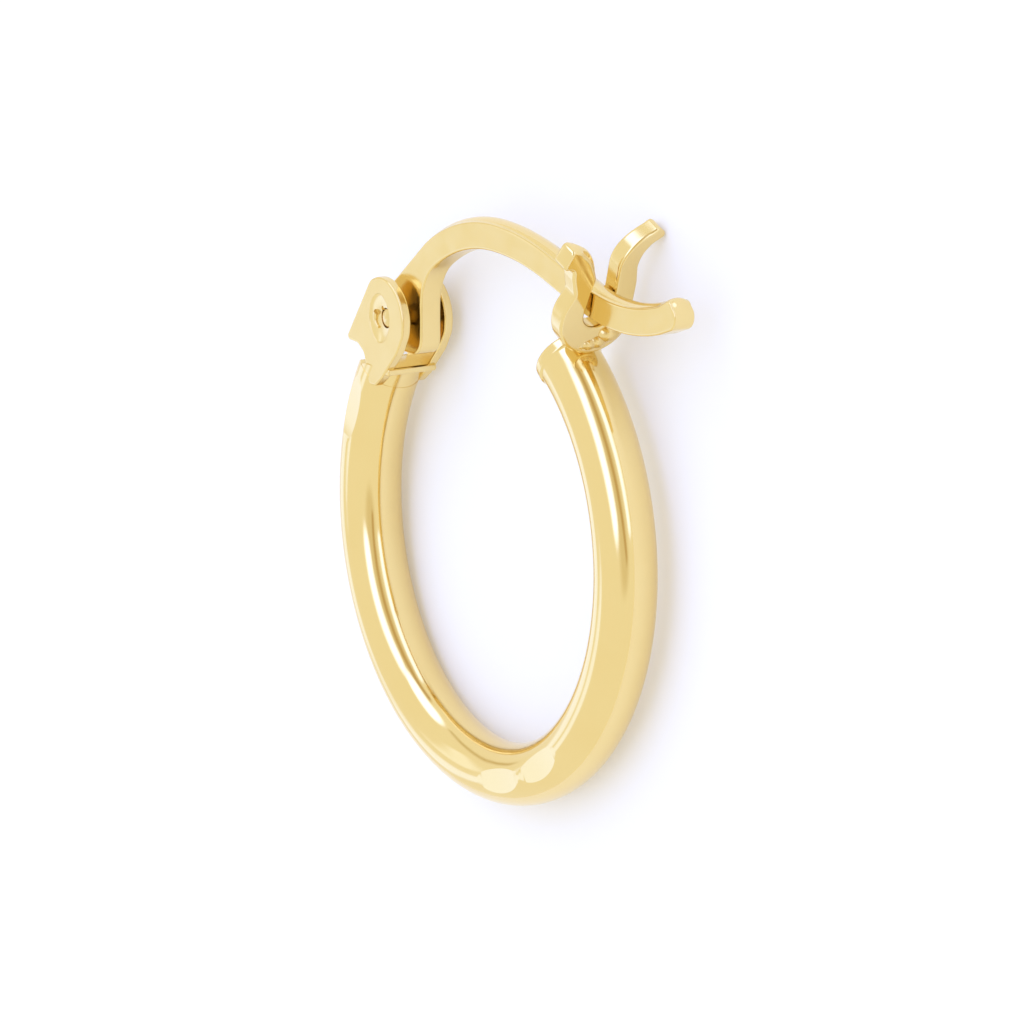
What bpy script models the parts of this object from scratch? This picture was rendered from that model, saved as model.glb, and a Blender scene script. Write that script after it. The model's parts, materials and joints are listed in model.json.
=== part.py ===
"""Hoop earring: a hollow round tube with a hinged saddle wire that clicks down into a fork catch.

The hoop is drawn in its ring frame: the ring's centre is the origin, X points to the catch side, Y points
to the gap that the wire closes, and Z is the ring's axis. The piece lies on its -Z side, so a parent empty
turns the ring frame onto the surface, where a tip of the fork and the tube's far side touch it.
Sizes are in millimetres at the top and become metres where meshes are made.
"""

import math

import bmesh
import bpy
from mathutils import Matrix, Vector

MM = 0.001

# Tube
RING_RADIUS = 7.67
TUBE_RADIUS = 1.0
TUBE_WALL = 0.25
CATCH_END_DEG = 54.0
HINGE_END_DEG = 146.5
TUBE_STEPS = 90
TUBE_SIDES = 24
BORE_SIDES = 12
CATCH_END_WALL = 0.3
HINGE_END_WALL = 0.54
FILED_END_TOP = (-6.38, 4.62)
FILED_END_DEG = 151.0
VENT_RADIUS = 0.14
VENT_DEG = 152.5
VENT_SIDE_DEG = 48.0

# Bright-cut flats, each scooped by a wide wheel: where it is on the ring and round the tube
FLAT_DEPTH = 0.085
FLAT_WHEEL_RADIUS = 10.0
FLAT_WHEEL_SIDES = 96
FLAT_CUTS = (
    {"ring_deg": 283.0, "tube_deg": 84.0},
    {"ring_deg": 302.0, "tube_deg": 84.0},
    {"ring_deg": 158.5, "tube_deg": 84.0},
)

# End cap on the catch end
CAP_RADIUS = 1.06
CAP_THICKNESS = 0.42
CAP_ROUNDING = 0.13

# Fork catch, a flat plate seen square on: heights run up the plate from the bottom of its slot
FORK_THICKNESS = 0.68
FORK_LEAN_DEG = 22.0
FORK_SLOT_X = 5.57
FORK_SLOT_Y = 7.72
FORK_BASE_RADIUS = 1.3
FORK_BASE_HEIGHT = 0.34
FORK_BASE_TOP_DEG = 20.0
FORK_NECK_HEIGHT = 1.3
FORK_ARM_WIDTH = 0.72
FORK_CROTCH_RADIUS = 0.12
FORK_ROUNDING = 0.07
UPPER_ARM = {"bend_start": 2.0, "inner_radius": 0.65, "turn_deg": 78.0, "reach": 0.5, "tip_width": 0.52}
LOWER_ARM = {"bend_start": 2.0, "inner_radius": 1.16, "turn_deg": 50.0, "reach": 0.95, "tip_width": 0.5}

# Saddle wire: its inner edge is bent from the hinge to the tail through these arcs
WIRE_THICKNESS = 0.75
WIRE_HEIGHT = 1.0
WIRE_CROWN = 0.2
WIRE_FRONT_X = -3.9
WIRE_FRONT_Y = 6.6
SHOULDER_BEND = {"radius": 1.75, "turn_deg": 57.0}
RISE_BEND = {"radius": 6.5, "turn_deg": 33.0}
FALL_BEND = {"radius": 11.2, "turn_deg": 16.0}
CATCH_STRAIGHT = 2.0
TAIL_BEND = {"radius": 8.5, "turn_deg": 39.5}
TAIL_ROUNDING = 0.34
TAIL_LOOPS_DEG = (0, 30, 60, 80)
ARC_STEP_DEG = 4.0
CORNER_ROUNDING = 0.06
HEEL_RADIUS = 1.1
HEEL_CORNER_RADIUS = 0.55
HEEL_BACK_DEG = 40.0
HEEL_SIDE_TRIM = 0.002

# Hinge bracket: two ears and a floor, bent from one strip. An ear's low points are measured from the pivot
PIVOT_X = -5.2
PIVOT_Y = 6.1
EAR_THICKNESS = 0.33
EAR_TOP_RADIUS = 1.38
EAR_TOP_BACK = 0.25
EAR_TOP_DROP = 0.1
EAR_TOP_ARC_DEG = (-14.0, 118.0)
EAR_CORNER_BACK = 2.16
EAR_CORNER_DROP = 0.93
EAR_CORNER_RADIUS = 0.14
EAR_CORNER_ARC_DEG = (145.0, 270.0)
EAR_ROUNDING = 0.05
EAR_NOTCH = ((-1.7, -1.09), (-1.32, -1.34), (-1.15, -1.85))
EAR_TONGUE = ((-0.95, -2.3), (-0.6, -2.3))
EAR_FRONT = ((-0.2, -2.0), (0.15, -1.63), (0.72, -1.05))
FLOOR_THICKNESS = 0.36
FLOOR_DROP = 1.62
FLOOR_FRONT = 0.28
FLOOR_BACK = 1.12
FLOOR_BEHIND_DEG = 3.0
FLOOR_INSIDE_DEG = 1.0
FLOOR_INSIDE = 0.9
PIN_RADIUS = 0.3
PIN_END_RECESS = 0.04
PIN_ROUNDING = 0.06
DIMPLE_RADIUS = 0.52
DIMPLE_DEPTH = 0.1

# Clearances
SLOT_SIDE_GAP = 0.035
SEAT_SIDE_GAP = 0.115
HINGE_SIDE_GAP = 0.245
PIN_GAP = 0.03
WIRE_EYE_GAP = 0.06

PIVOT = Vector((PIVOT_X, PIVOT_Y, 0.0))
EAR_INNER_Z = WIRE_THICKNESS / 2 + HINGE_SIDE_GAP
EAR_OUTER_Z = EAR_INNER_Z + EAR_THICKNESS


def clear_scene():
    """Removes every object, so that the part stands alone."""
    for obj in list(bpy.data.objects):
        bpy.data.objects.remove(obj, do_unlink=True)


def metal(name, colour, roughness):
    """A polished gold with its own tone."""
    material = bpy.data.materials.new(name)
    material.use_nodes = True
    shader = material.node_tree.nodes["Principled BSDF"]
    shader.inputs["Base Color"].default_value = (*colour, 1.0)
    shader.inputs["Metallic"].default_value = 1.0
    shader.inputs["Roughness"].default_value = roughness
    return material


def add_object(name, bm):
    """Links a mesh, drawn in millimetres, as an object in metres."""
    bmesh.ops.remove_doubles(bm, verts=bm.verts, dist=1e-5)
    bmesh.ops.recalc_face_normals(bm, faces=bm.faces)
    bmesh.ops.scale(bm, vec=(MM, MM, MM), verts=bm.verts)
    mesh = bpy.data.meshes.new(name)
    bm.to_mesh(mesh)
    bm.free()
    mesh.shade_smooth()
    mesh.set_sharp_from_angle(angle=math.radians(35))
    obj = bpy.data.objects.new(name, mesh)
    bpy.context.collection.objects.link(obj)
    return obj


def helper(name, bm, parent):
    """An object that only joins or cuts another: it isn't a piece."""
    obj = add_object(name, bm)
    obj.hide_render = True
    obj.display_type = "WIRE"
    obj.parent = parent
    return obj


def combine(target, other, operation):
    """Adds an exact Boolean of the other object to the target."""
    modifier = target.modifiers.new(f"{operation.lower()}_{other.name}", "BOOLEAN")
    modifier.operation = operation
    modifier.solver = "EXACT"
    modifier.object = other


def on_ring(angle_deg, radius=RING_RADIUS, height=0.0):
    """A point at an angle round the ring."""
    angle = math.radians(angle_deg)
    return Vector((radius * math.cos(angle), radius * math.sin(angle), height))


def arc(centre, radius, start_deg, end_deg, step_deg=12.0):
    """Points on an arc in the plane, with both ends."""
    count = max(1, round(abs(end_deg - start_deg) / step_deg))
    angles = [math.radians(start_deg + (end_deg - start_deg) * i / count) for i in range(count + 1)]
    return [Vector((centre[0] + radius * math.cos(a), centre[1] + radius * math.sin(a))) for a in angles]


def prism(outline, low, high, rounding=0.0):
    """A plate with this outline in XY, between two heights, with its rims rounded."""
    bm = bmesh.new()
    rim = [bm.verts.new((point[0], point[1], low)) for point in outline]
    face = bm.faces.new(rim)
    raised = bmesh.ops.extrude_face_region(bm, geom=[face])
    lifted = [item for item in raised["geom"] if isinstance(item, bmesh.types.BMVert)]
    bmesh.ops.translate(bm, verts=lifted, vec=(0, 0, high - low))
    if rounding:
        rims = [e for e in bm.edges if abs(e.verts[0].co.z - e.verts[1].co.z) < 1e-6]
        bmesh.ops.bevel(
            bm,
            geom=rims,
            offset=rounding,
            segments=2,
            profile=0.5,
            affect="EDGES",
            material=-1,
            clamp_overlap=True,
        )
    return bm


def cylinder(radius, low, high, sides=24):
    """A round bar along Z."""
    bm = bmesh.new()
    bmesh.ops.create_cone(
        bm, cap_ends=True, segments=sides, radius1=radius, radius2=radius, depth=high - low
    )
    bmesh.ops.translate(bm, verts=bm.verts, vec=(0, 0, (low + high) / 2))
    return bm


def ring_bar(radius, sides, start_deg, end_deg):
    """A solid round bar bent along the ring between two angles."""
    bm = bmesh.new()
    circle = bmesh.ops.create_circle(bm, cap_ends=True, segments=sides, radius=radius)
    bmesh.ops.rotate(bm, verts=circle["verts"], matrix=Matrix.Rotation(math.pi / 2, 3, "X"))
    bmesh.ops.translate(bm, verts=circle["verts"], vec=(RING_RADIUS, 0, 0))
    bmesh.ops.rotate(bm, verts=circle["verts"], matrix=Matrix.Rotation(math.radians(start_deg), 3, "Z"))
    bmesh.ops.spin(
        bm,
        geom=bm.verts[:] + bm.edges[:] + bm.faces[:],
        axis=(0, 0, 1),
        cent=(0, 0, 0),
        angle=math.radians(end_deg - start_deg),
        steps=TUBE_STEPS,
    )
    return bm


def tube_body():
    """The tube's outer form, from the hinge end round to the catch end."""
    return ring_bar(TUBE_RADIUS, TUBE_SIDES, HINGE_END_DEG, CATCH_END_DEG + 360)


def tube_bore():
    """The hollow inside the tube, stopped short of both ends."""
    start_deg = HINGE_END_DEG + math.degrees(HINGE_END_WALL / RING_RADIUS)
    end_deg = CATCH_END_DEG + 360 - math.degrees(CATCH_END_WALL / RING_RADIUS)
    return ring_bar(TUBE_RADIUS - TUBE_WALL, BORE_SIDES, start_deg, end_deg)


def filed_end():
    """What is filed off the tube's outer corner behind the bracket."""
    top = Vector(FILED_END_TOP)
    low = on_ring(FILED_END_DEG, RING_RADIUS + TUBE_RADIUS).xy
    beyond = low + (low - top)
    away = 2 * TUBE_RADIUS * Vector((top.y - low.y, low.x - top.x)).normalized()
    if away.dot(top) < 0:
        away = -away
    return prism([top, beyond, beyond + away, top + away], -2 * TUBE_RADIUS, 2 * TUBE_RADIUS)


def tube_normal(ring_deg, tube_deg):
    """The outward direction at an angle round the tube's own section."""
    tilt = math.radians(tube_deg)
    return on_ring(ring_deg, math.cos(tilt)) + Vector((0, 0, math.sin(tilt)))


def vent_cutter():
    """A drill through one wall of the tube, near the bracket."""
    normal = tube_normal(VENT_DEG, VENT_SIDE_DEG)
    bm = cylinder(VENT_RADIUS, TUBE_RADIUS - 2 * TUBE_WALL, TUBE_RADIUS + TUBE_WALL, sides=10)
    turn = normal.to_track_quat("Z", "Y").to_matrix()
    bmesh.ops.rotate(bm, verts=bm.verts, matrix=turn)
    bmesh.ops.translate(bm, verts=bm.verts, vec=on_ring(VENT_DEG))
    return bm


def flat_cutter(cut):
    """A wide wheel whose axis crosses the tube, so that it scoops one long shallow flat."""
    normal = tube_normal(cut["ring_deg"], cut["tube_deg"])
    along = on_ring(cut["ring_deg"] + 90, 1.0)
    across = normal.cross(along)
    bm = cylinder(FLAT_WHEEL_RADIUS, -TUBE_RADIUS, TUBE_RADIUS, FLAT_WHEEL_SIDES)
    turn = Matrix((along, normal, -across)).transposed()
    bmesh.ops.rotate(bm, verts=bm.verts, matrix=turn)
    lift = TUBE_RADIUS - FLAT_DEPTH + FLAT_WHEEL_RADIUS
    bmesh.ops.translate(bm, verts=bm.verts, vec=on_ring(cut["ring_deg"]) + normal * lift)
    return bm


def end_cap():
    """A round-edged disc that closes the tube at the catch."""
    bm = cylinder(CAP_RADIUS, -TUBE_WALL, CAP_THICKNESS, TUBE_SIDES)
    top = [e for e in bm.edges if min(v.co.z for v in e.verts) > CAP_THICKNESS - 1e-6]
    bmesh.ops.bevel(bm, geom=top, offset=CAP_ROUNDING, segments=3, profile=0.5, affect="EDGES", material=-1)
    bmesh.ops.rotate(bm, verts=bm.verts, matrix=Matrix.Rotation(-math.pi / 2, 3, "X"))
    bmesh.ops.translate(bm, verts=bm.verts, vec=(RING_RADIUS, 0, 0))
    bmesh.ops.rotate(bm, verts=bm.verts, matrix=Matrix.Rotation(math.radians(CATCH_END_DEG), 3, "Z"))
    return bm


def arm_edges(arm):
    """The inner and the outer edge of one fork arm, from its neck to its tip, as (across, height)."""
    gap = WIRE_THICKNESS / 2 + SLOT_SIDE_GAP
    turn_deg = arm["turn_deg"]
    turn = math.radians(turn_deg)
    ahead = Vector((math.sin(turn), math.cos(turn)))
    side = Vector((math.cos(turn), -math.sin(turn)))
    inner_centre = (gap + arm["inner_radius"], arm["bend_start"])
    inner = [Vector((gap, FORK_NECK_HEIGHT)), *arc(inner_centre, arm["inner_radius"], 180, 180 - turn_deg)]
    inner.append(inner[-1] + arm["reach"] * ahead)
    tip = inner[-1] + arm["tip_width"] * side
    outer_x = gap + FORK_ARM_WIDTH
    crotch = tip - ahead * (tip.x - outer_x) / ahead.x
    radius = max(arm["inner_radius"] - FORK_ARM_WIDTH, FORK_CROTCH_RADIUS)
    outer_centre = (outer_x + radius, crotch.y - radius * math.tan(turn / 2))
    outer = [Vector((outer_x, FORK_NECK_HEIGHT)), *arc(outer_centre, radius, 180, 180 - turn_deg), tip]
    return inner, outer


def fork_outline():
    """The whole plate, with its slot, as (across, height); the upper arm is on the +across side."""
    upper_inner, upper_outer = arm_edges(UPPER_ARM)
    lower_inner, lower_outer = (
        [Vector((-p.x, p.y)) for p in edge] for edge in arm_edges(LOWER_ARM)
    )
    seat = WIRE_THICKNESS / 2 + SEAT_SIDE_GAP
    base = arc((0, FORK_BASE_HEIGHT), FORK_BASE_RADIUS, FORK_BASE_TOP_DEG, -180 - FORK_BASE_TOP_DEG)
    slot = arc((0, seat), seat, 180, 360, 20)
    return upper_outer[::-1] + base + lower_outer + lower_inner[::-1] + slot + upper_inner


def fork_plate():
    """The fork, standing on the cap and leaning outwards."""
    bm = prism(fork_outline(), -FORK_THICKNESS / 2, FORK_THICKNESS / 2, FORK_ROUNDING)
    lean = math.radians(FORK_LEAN_DEG)
    up = Vector((math.sin(lean), math.cos(lean), 0))
    out = Vector((math.cos(lean), -math.sin(lean), 0))
    turn = Matrix((Vector((0, 0, 1)), up, -out)).transposed()
    bmesh.ops.rotate(bm, verts=bm.verts, matrix=turn)
    bmesh.ops.translate(bm, verts=bm.verts, vec=(FORK_SLOT_X, FORK_SLOT_Y, 0))
    return bm


def ear_outline():
    """One ear: a round top, a straight back edge to a corner, and a tongue that runs down onto the tube."""
    top = arc((PIVOT_X - EAR_TOP_BACK, PIVOT_Y - EAR_TOP_DROP), EAR_TOP_RADIUS, *EAR_TOP_ARC_DEG)
    corner_centre = (PIVOT_X - EAR_CORNER_BACK, PIVOT_Y - EAR_CORNER_DROP)
    corner = arc(corner_centre, EAR_CORNER_RADIUS, *EAR_CORNER_ARC_DEG, 30)
    return top + corner + [PIVOT.xy + Vector(point) for point in EAR_NOTCH + EAR_TONGUE + EAR_FRONT]


def floor_outline():
    """The strip between the ears, which closes the tube's end."""
    top = PIVOT_Y - FLOOR_DROP
    return [
        Vector((PIVOT_X + FLOOR_FRONT, top)),
        Vector((PIVOT_X - FLOOR_BACK, top + FLOOR_THICKNESS / 3)),
        on_ring(HINGE_END_DEG + FLOOR_BEHIND_DEG, RING_RADIUS + TUBE_WALL).xy,
        on_ring(HINGE_END_DEG + FLOOR_INSIDE_DEG, RING_RADIUS - FLOOR_INSIDE * TUBE_RADIUS).xy,
        Vector((PIVOT_X, top - FLOOR_THICKNESS)),
        Vector((PIVOT_X + FLOOR_FRONT, top - FLOOR_THICKNESS / 2)),
    ]


def along_bend(point, heading_deg, bend, side):
    """Walks an arc from a point: each point passed and the heading there. Side is 1 to the left, -1 to the right."""
    radius, turn = bend["radius"], bend["turn_deg"]
    steps = max(2, round(turn / ARC_STEP_DEG))
    start = math.radians(heading_deg)
    centre = point + side * radius * Vector((-math.sin(start), math.cos(start)))
    passed = []
    for i in range(1, steps + 1):
        angle = start + side * math.radians(turn) * i / steps
        back = side * radius * Vector((-math.sin(angle), math.cos(angle)))
        passed.append((centre - back, math.degrees(angle)))
    return passed


def wire_inner_edge():
    """The wire's inner edge from its hinge end to its tail: (point, heading) at each station."""
    stations = [(Vector((WIRE_FRONT_X, WIRE_FRONT_Y)), 90.0)]
    for bend in (SHOULDER_BEND, RISE_BEND, FALL_BEND):
        point, heading = stations[-1]
        stations += along_bend(point, heading, bend, side=-1)
    point, heading = stations[-1]
    angle = math.radians(heading)
    stations.append((point + CATCH_STRAIGHT * Vector((math.cos(angle), math.sin(angle))), heading))
    point, heading = stations[-1]
    stations += along_bend(point, heading, TAIL_BEND, side=1)
    return stations


def wire_section(crown_points=5):
    """The wire's section as (across, height from its inner edge): flat sides and a crowned outer edge."""
    half = WIRE_THICKNESS / 2
    shoulder = WIRE_HEIGHT - WIRE_CROWN
    crown_radius = (half**2 + WIRE_CROWN**2) / (2 * WIRE_CROWN)
    reach = math.degrees(math.asin(half / crown_radius))
    crown_centre = (0, WIRE_HEIGHT - crown_radius)
    crown = arc(crown_centre, crown_radius, 90 - reach, 90 + reach, 2 * reach / (crown_points - 1))
    return [
        Vector((-half, CORNER_ROUNDING)),
        Vector((-half + CORNER_ROUNDING, 0)),
        Vector((half - CORNER_ROUNDING, 0)),
        Vector((half, CORNER_ROUNDING)),
        Vector((half, shoulder)),
        *crown[1:-1],
        Vector((-half, shoulder)),
    ]


def wire_bar():
    """The bent wire, swept along its inner edge, with a rounded tail."""
    bm = bmesh.new()
    section = wire_section()
    loops = []
    stations = wire_inner_edge()
    last_point, last_heading = stations[-1]
    heading = math.radians(last_heading)
    ahead = Vector((math.cos(heading), math.sin(heading)))
    rows = [(point, angle, 0.0) for point, angle in stations[:-1]]
    for turn_deg in TAIL_LOOPS_DEG:
        turn = math.radians(turn_deg)
        point = last_point - TAIL_ROUNDING * (1 - math.sin(turn)) * ahead
        rows.append((point, last_heading, TAIL_ROUNDING * (1 - math.cos(turn)) / (WIRE_HEIGHT / 2)))
    middle = WIRE_HEIGHT / 2
    for point, angle, shrink in rows:
        turn = math.radians(angle)
        outward = Vector((-math.sin(turn), math.cos(turn)))
        loop = []
        for across, height in section:
            drawn = middle + (height - middle) * (1 - shrink)
            place = point + outward * drawn
            loop.append(bm.verts.new((place.x, place.y, across * (1 - shrink))))
        loops.append(loop)
    for near, far in zip(loops, loops[1:]):
        for i in range(len(section)):
            j = (i + 1) % len(section)
            bm.faces.new((near[i], near[j], far[j], far[i]))
    bm.faces.new(loops[0])
    bm.faces.new(loops[-1])
    return bm


def heel_outline():
    """The flattened heel that turns between the ears, seen square on."""
    shoulder_centre = Vector((WIRE_FRONT_X + SHOULDER_BEND["radius"], WIRE_FRONT_Y))
    turn = math.radians(HEEL_BACK_DEG)
    outward = Vector((-math.sin(turn), math.cos(turn)))
    leave = shoulder_centre + (SHOULDER_BEND["radius"] + WIRE_HEIGHT - WIRE_CROWN / 2) * outward
    inside = shoulder_centre + (SHOULDER_BEND["radius"] + WIRE_CROWN) * outward
    corner = (WIRE_FRONT_X - HEEL_CORNER_RADIUS, PIVOT_Y - HEEL_RADIUS + HEEL_CORNER_RADIUS)
    return [
        leave,
        *arc((PIVOT_X, PIVOT_Y), HEEL_RADIUS, 90 + HEEL_BACK_DEG, 270),
        *arc(corner, HEEL_CORNER_RADIUS, -90, 0, 30),
        Vector((WIRE_FRONT_X, WIRE_FRONT_Y)),
        inside,
    ]


def hinge_pin_body():
    """The rivet through both ears, with softened ends."""
    reach = EAR_OUTER_Z - PIN_END_RECESS
    bm = cylinder(PIN_RADIUS, -reach, reach)
    rims = [e for e in bm.edges if abs(e.verts[0].co.z - e.verts[1].co.z) < 1e-6]
    bmesh.ops.bevel(bm, geom=rims, offset=PIN_ROUNDING, segments=2, profile=0.5, affect="EDGES", material=-1)
    bmesh.ops.translate(bm, verts=bm.verts, vec=PIVOT)
    return bm


def at_pivot(bm):
    """Moves a tool drawn round the origin to the hinge."""
    bmesh.ops.translate(bm, verts=bm.verts, vec=PIVOT)
    return bm


def dimple_cutter():
    """The shallow dish pressed round the rivet's end in the upper ear."""
    bm = bmesh.new()
    bmesh.ops.create_uvsphere(bm, u_segments=24, v_segments=12, radius=1.0)
    bmesh.ops.scale(bm, vec=(DIMPLE_RADIUS, DIMPLE_RADIUS, DIMPLE_DEPTH), verts=bm.verts)
    bmesh.ops.translate(bm, verts=bm.verts, vec=PIVOT + Vector((0, 0, EAR_OUTER_Z)))
    return bm


def build_hoop(frame):
    """Tube, cap, fork and bracket, soldered into one piece of metal."""
    hoop = add_object("hoop", tube_body())
    hoop.parent = frame
    combine(hoop, helper("filed_end", filed_end(), frame), "DIFFERENCE")
    joined = {
        "end_cap": end_cap(),
        "fork": fork_plate(),
        "upper_ear": prism(ear_outline(), EAR_INNER_Z, EAR_OUTER_Z, EAR_ROUNDING),
        "lower_ear": prism(ear_outline(), -EAR_OUTER_Z, -EAR_INNER_Z, EAR_ROUNDING),
        "bracket_floor": prism(floor_outline(), -EAR_OUTER_Z + EAR_ROUNDING, EAR_OUTER_Z - EAR_ROUNDING),
    }
    for name, bm in joined.items():
        combine(hoop, helper(name, bm, frame), "UNION")
    cuts = {
        "bore": tube_bore(),
        "vent": vent_cutter(),
        "pin_holes": at_pivot(cylinder(PIN_RADIUS + PIN_GAP, -2 * EAR_OUTER_Z, 2 * EAR_OUTER_Z)),
        "dimple": dimple_cutter(),
    }
    cuts.update({f"flat_{i + 1}": flat_cutter(cut) for i, cut in enumerate(FLAT_CUTS)})
    for name, bm in cuts.items():
        combine(hoop, helper(name, bm, frame), "DIFFERENCE")
    return hoop


def build_wire(frame):
    """The saddle wire, which turns on an empty at its hinge."""
    hinge = bpy.data.objects.new("wire_hinge", None)
    bpy.context.collection.objects.link(hinge)
    hinge.parent = frame
    hinge.location = PIVOT * MM
    heel_side = WIRE_THICKNESS / 2 - HEEL_SIDE_TRIM
    pieces = {
        "ear_wire": wire_bar(),
        "heel": prism(heel_outline(), -heel_side, heel_side, EAR_ROUNDING),
        "wire_eye": at_pivot(cylinder(PIN_RADIUS + WIRE_EYE_GAP, -WIRE_THICKNESS, WIRE_THICKNESS)),
    }
    for bm in pieces.values():
        bmesh.ops.translate(bm, verts=bm.verts, vec=-PIVOT)
    wire = add_object("ear_wire", pieces["ear_wire"])
    wire.parent = hinge
    combine(wire, helper("heel", pieces["heel"], hinge), "UNION")
    combine(wire, helper("wire_eye", pieces["wire_eye"], hinge), "DIFFERENCE")
    return wire


def build_pin(frame):
    """The hinge rivet."""
    pin = add_object("hinge_pin", hinge_pin_body())
    pin.parent = frame
    return pin


def lower_tip():
    """The lowest corner of the fork: its place in the ring's plane, and how far below that plane it is."""
    across, height = arm_edges(LOWER_ARM)[1][-1]
    lean = math.radians(FORK_LEAN_DEG)
    place = Vector((FORK_SLOT_X + height * math.sin(lean), FORK_SLOT_Y + height * math.cos(lean)))
    return place, across


def rest_rotation():
    """The turn that lays the hoop on the fork's lower tip and the tube's far side."""
    place, depth = lower_tip()
    tilt = math.asin((depth - TUBE_RADIUS) / (place.length + RING_RADIUS))
    lean = math.sin(tilt) * place.normalized()
    up = Vector((lean.x, lean.y, math.cos(tilt)))
    return up.rotation_difference(Vector((0, 0, 1)))


def seat_on_surface(frame, pieces):
    """Moves the frame until the origin is under the middle of the piece, on the surface that it lies on."""
    bpy.context.view_layer.update()
    graph = bpy.context.evaluated_depsgraph_get()
    corners = []
    for piece in pieces:
        evaluated = piece.evaluated_get(graph)
        mesh = evaluated.to_mesh()
        corners += [evaluated.matrix_world @ vertex.co for vertex in mesh.vertices]
        evaluated.to_mesh_clear()
    low = Vector([min(point[i] for point in corners) for i in range(3)])
    high = Vector([max(point[i] for point in corners) for i in range(3)])
    frame.location = Vector((-(low.x + high.x) / 2, -(low.y + high.y) / 2, -low.z))


def main():
    """Builds the three pieces and lays them on the surface."""
    clear_scene()
    frame = bpy.data.objects.new("ring_frame", None)
    bpy.context.collection.objects.link(frame)
    frame.rotation_mode = "QUATERNION"
    frame.rotation_quaternion = rest_rotation()
    hoop = build_hoop(frame)
    wire = build_wire(frame)
    pin = build_pin(frame)
    hoop.data.materials.append(metal("hoop_gold", (0.87, 0.64, 0.25), 0.16))
    wire.data.materials.append(metal("wire_gold", (0.88, 0.66, 0.28), 0.2))
    pin.data.materials.append(metal("pin_gold", (0.85, 0.62, 0.24), 0.25))
    seat_on_surface(frame, [hoop, wire, pin])


main()
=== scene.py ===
"""Looks of a polished gold hoop earring with a hinged saddle wire and a fork catch.

The pieces are drawn in the hoop's ring frame, in millimetres: the ring's centre is the origin, X points to
the catch side, Y to the gap that the wire closes, and Z is the ring's axis. RingFrame lays them where the
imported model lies, on its side on the floor.
"""

import json
import logging
import math
from collections.abc import Iterable, Sequence
from dataclasses import dataclass, replace
from enum import Enum

import bmesh
import bpy
from mathutils import Matrix, Quaternion, Vector


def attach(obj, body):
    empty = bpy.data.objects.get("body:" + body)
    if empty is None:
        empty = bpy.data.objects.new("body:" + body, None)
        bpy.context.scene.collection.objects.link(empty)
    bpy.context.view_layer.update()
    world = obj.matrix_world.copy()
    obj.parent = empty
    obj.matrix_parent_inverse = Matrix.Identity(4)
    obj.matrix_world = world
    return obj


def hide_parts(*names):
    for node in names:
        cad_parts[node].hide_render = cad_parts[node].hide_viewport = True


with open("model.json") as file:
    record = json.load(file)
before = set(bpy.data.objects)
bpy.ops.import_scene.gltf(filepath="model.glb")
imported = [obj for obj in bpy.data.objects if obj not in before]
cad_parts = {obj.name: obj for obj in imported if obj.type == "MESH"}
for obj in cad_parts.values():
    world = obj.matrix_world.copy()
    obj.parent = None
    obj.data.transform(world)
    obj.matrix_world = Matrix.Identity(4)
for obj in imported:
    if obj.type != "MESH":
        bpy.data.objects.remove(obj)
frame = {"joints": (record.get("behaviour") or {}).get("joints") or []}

LOG = logging.getLogger("hoop_earring")
MM = 0.001
PIVOT = Vector((-5.2, 6.1, 0.0))
MERGE = 1e-4
THROUGH = 2.0
SHARP_RIM = 0.01
HOLE_SIDES = 24
FILLET_SHARE = 0.48
MITRE_LIMIT = 0.6
GRAZING = 0.001

Colour = tuple[float, float, float]
WHITE = (1.0, 1.0, 1.0)


class Body(Enum):
    """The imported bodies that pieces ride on."""

    HOOP = "hoop_body"
    WIRE = "wire_body"


class Slot(Enum):
    """The record's material slots."""

    HOOP = "hoop_gold"
    WIRE = "wire_gold"
    PIN = "pin_gold"


class Cut(Enum):
    """The ways that one solid changes another."""

    AWAY = "DIFFERENCE"
    JOIN = "UNION"


@dataclass(frozen=True)
class RingFrame:
    """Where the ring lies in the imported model.

    Attributes:
        turn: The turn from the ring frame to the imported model.
        origin: The ring's centre, in metres.
    """

    turn: Quaternion
    origin: Vector

    @classmethod
    def from_joint(cls, joint: dict) -> "RingFrame":
        """Finds the ring from the hinge, whose axis is the ring's.

        Args:
            joint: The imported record's row for the hinge.

        Returns:
            The ring's place.
        """
        turn = Vector((0, 0, 1)).rotation_difference(Vector(joint["axis"]).normalized())
        return cls(turn, Vector(joint["pos_m"]) - turn @ (PIVOT * MM))

    def matrix(self) -> Matrix:
        """Takes ring-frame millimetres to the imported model's metres."""
        return self.rigid() @ Matrix.Scale(MM, 4)

    def rigid(self) -> Matrix:
        """The same turn and move without the change of units."""
        return Matrix.Translation(self.origin) @ self.turn.to_matrix().to_4x4()


@dataclass(frozen=True)
class Pattern:
    """A noise pattern.

    Attributes:
        scale: Its scale, per unit of the coordinates that it reads.
        detail: How many finer octaves it has.
    """

    scale: float
    detail: float

    def add(self, tree: bpy.types.NodeTree, place: bpy.types.NodeSocket) -> bpy.types.NodeSocket:
        """Adds the pattern to some nodes, and gives its socket."""
        made = tree.nodes.new("ShaderNodeTexNoise")
        made.inputs["Scale"].default_value = self.scale
        made.inputs["Detail"].default_value = self.detail
        tree.links.new(place, made.inputs["Vector"])
        return made.outputs["Fac"]


TONE_DRIFT = Pattern(0.45, 3.0)
HANDLING = Pattern(1.7, 5.0)
HANDLING_SPAN = (0.35, 0.75)
SLOW_WAVES = Pattern(0.8, 1.0)
POLISHING_LINES = Pattern(3.0, 4.0)
LINE_STRETCH = (0.8, 14.0, 14.0)
FLOOR_CLOUDS = Pattern(6.0, 2.0)


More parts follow.
